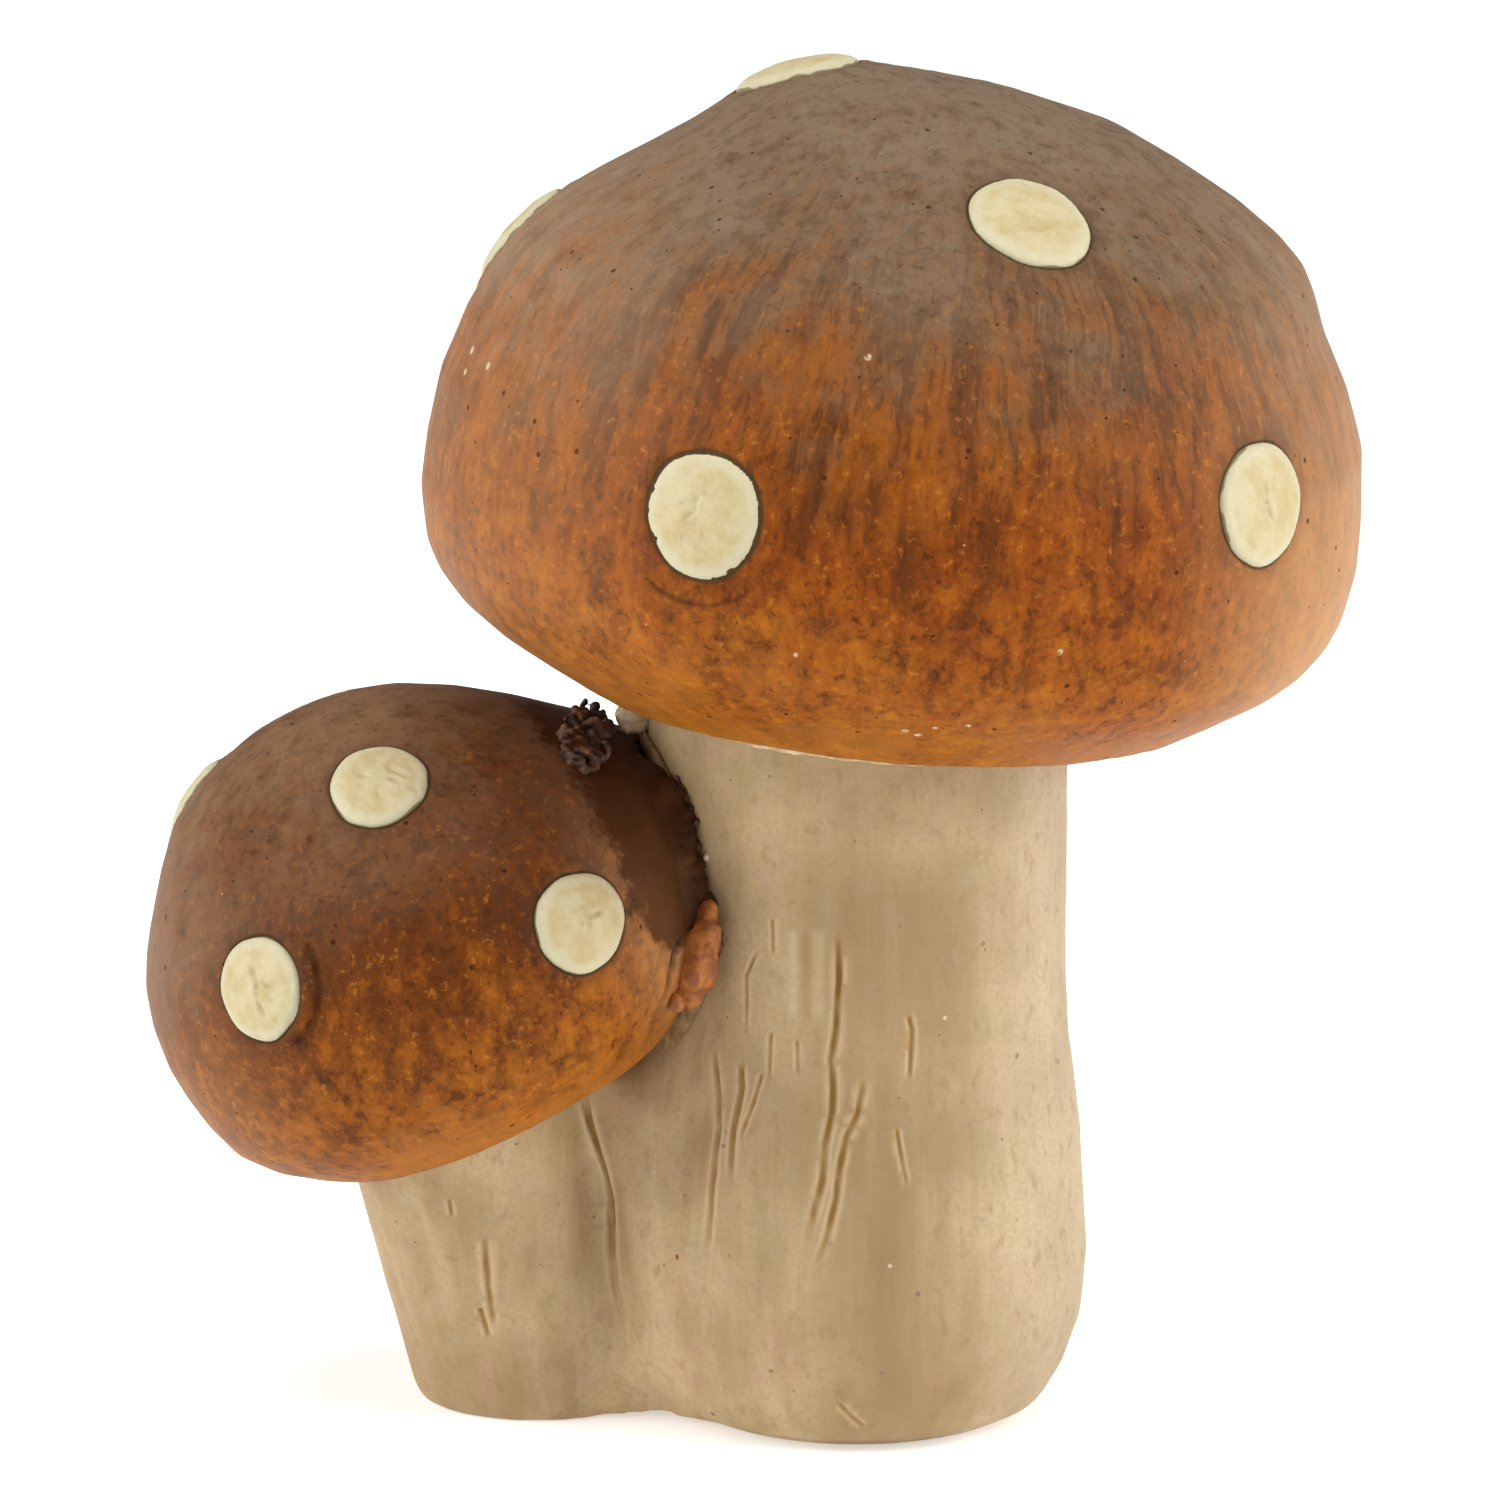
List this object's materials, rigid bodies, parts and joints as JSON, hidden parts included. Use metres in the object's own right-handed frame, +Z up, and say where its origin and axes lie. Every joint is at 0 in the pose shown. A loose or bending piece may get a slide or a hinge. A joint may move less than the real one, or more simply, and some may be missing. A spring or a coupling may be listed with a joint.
{
  "type": "ceramic mushroom ornament",
  "caption": "Hand-built ceramic mushroom pair: an upright large mushroom and a small one leaning against its stem, brown caps with pale round spots, to stand on a shelf.",
  "frame": {"origin": "middle of the large foot where it rests on the table", "axes": "+Z up the large stem, -Y towards the viewer of the front, -X towards the small mushroom"},
  "size_m": [0.1219, 0.0943, 0.1383],
  "materials": {
    "cap_glaze": "satin brown stain, darker on top and golden at the rim",
    "stem_clay": "matt beige",
    "slip_clay": "matt",
    "crumb_clay": "matt dark brown",
    "spot_clay": "matt cream"
  },
  "bodies": {
    "root": {"large_stem": "stem_clay", "large_cap": "cap_glaze", "small_stem": "stem_clay", "small_cap": "cap_glaze", "slip_ring": "slip_clay", "slip_pad": "slip_clay", "stem_web": "stem_clay", "torn_flap": "cap_glaze", "brown_crumbs": "crumb_clay", "pale_crumbs": "slip_clay", "large_spot_1": "spot_clay", "large_spot_2": "spot_clay", "large_spot_3": "spot_clay", "large_spot_4": "spot_clay", "large_spot_5": "spot_clay", "large_spot_6": "spot_clay", "large_spot_7": "spot_clay", "large_spot_8": "spot_clay", "large_spot_9": "spot_clay", "small_spot_1": "spot_clay", "small_spot_2": "spot_clay", "small_spot_3": "spot_clay", "small_spot_4": "spot_clay", "small_spot_5": "spot_clay", "small_spot_6": "spot_clay"}
  },
  "joints": []
}
